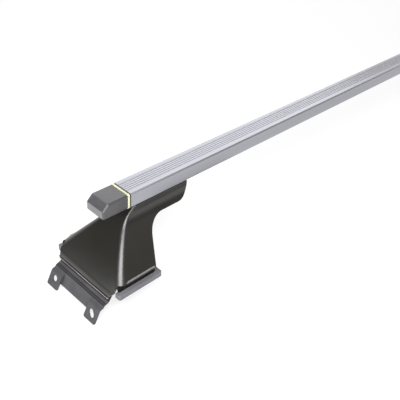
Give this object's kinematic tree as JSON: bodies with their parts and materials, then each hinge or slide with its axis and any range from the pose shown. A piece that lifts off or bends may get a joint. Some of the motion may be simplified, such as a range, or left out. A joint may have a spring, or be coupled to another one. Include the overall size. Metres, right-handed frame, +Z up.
{
  "type": "roof rack crossbar",
  "caption": "Ribbed rectangular roof bar with slanted end caps, on flared sheet-metal feet that slide along it, with rubber pads and folded fixing brackets.",
  "frame": {"origin": "middle of the bar's length and width, at the height of the brackets' tips", "axes": "+X along the bar, +Y across it, +Z up towards the bar's ribbed top"},
  "size_m": [1.3694, 0.124, 0.1342],
  "materials": {
    "bar_aluminium": "satin anodised",
    "cap_plastic": "moulded",
    "seal_rubber": "cream",
    "foot_paint": "glossy black",
    "plate_paint": "black",
    "pad_rubber": "grey, moulded",
    "bracket_paint": "matte grey",
    "zinc_steel": "zinc plated"
  },
  "bodies": {
    "bar": {"crossbar_tube": "bar_aluminium", "end_cap_left": "cap_plastic", "cap_seal_left": "seal_rubber", "end_cap_right": "cap_plastic", "cap_seal_right": "seal_rubber"},
    "left_foot": {"foot_housing_left": "foot_paint", "base_plate_left": "plate_paint", "rubber_pad_left": "pad_rubber", "fixing_bracket_left": "bracket_paint", "bar_bolts_left": "zinc_steel", "bar_washers_left": "zinc_steel", "bar_nuts_left": "zinc_steel", "bracket_bolts_left": "zinc_steel", "bracket_washers_left": "zinc_steel", "bracket_nuts_left": "zinc_steel"},
    "right_foot": {"foot_housing_right": "foot_paint", "base_plate_right": "plate_paint", "rubber_pad_right": "pad_rubber", "fixing_bracket_right": "bracket_paint", "bar_bolts_right": "zinc_steel", "bar_washers_right": "zinc_steel", "bar_nuts_right": "zinc_steel", "bracket_bolts_right": "zinc_steel", "bracket_washers_right": "zinc_steel", "bracket_nuts_right": "zinc_steel"}
  },
  "joints": [
    {"name": "left_foot_slide", "type": "slide", "parent": "bar", "child": "left_foot", "axis": [1, 0, 0], "range_m": [0, 0.2]},
    {"name": "right_foot_slide", "type": "slide", "parent": "bar", "child": "right_foot", "axis": [-1, 0, 0], "range_m": [0, 0.2]}
  ]
}
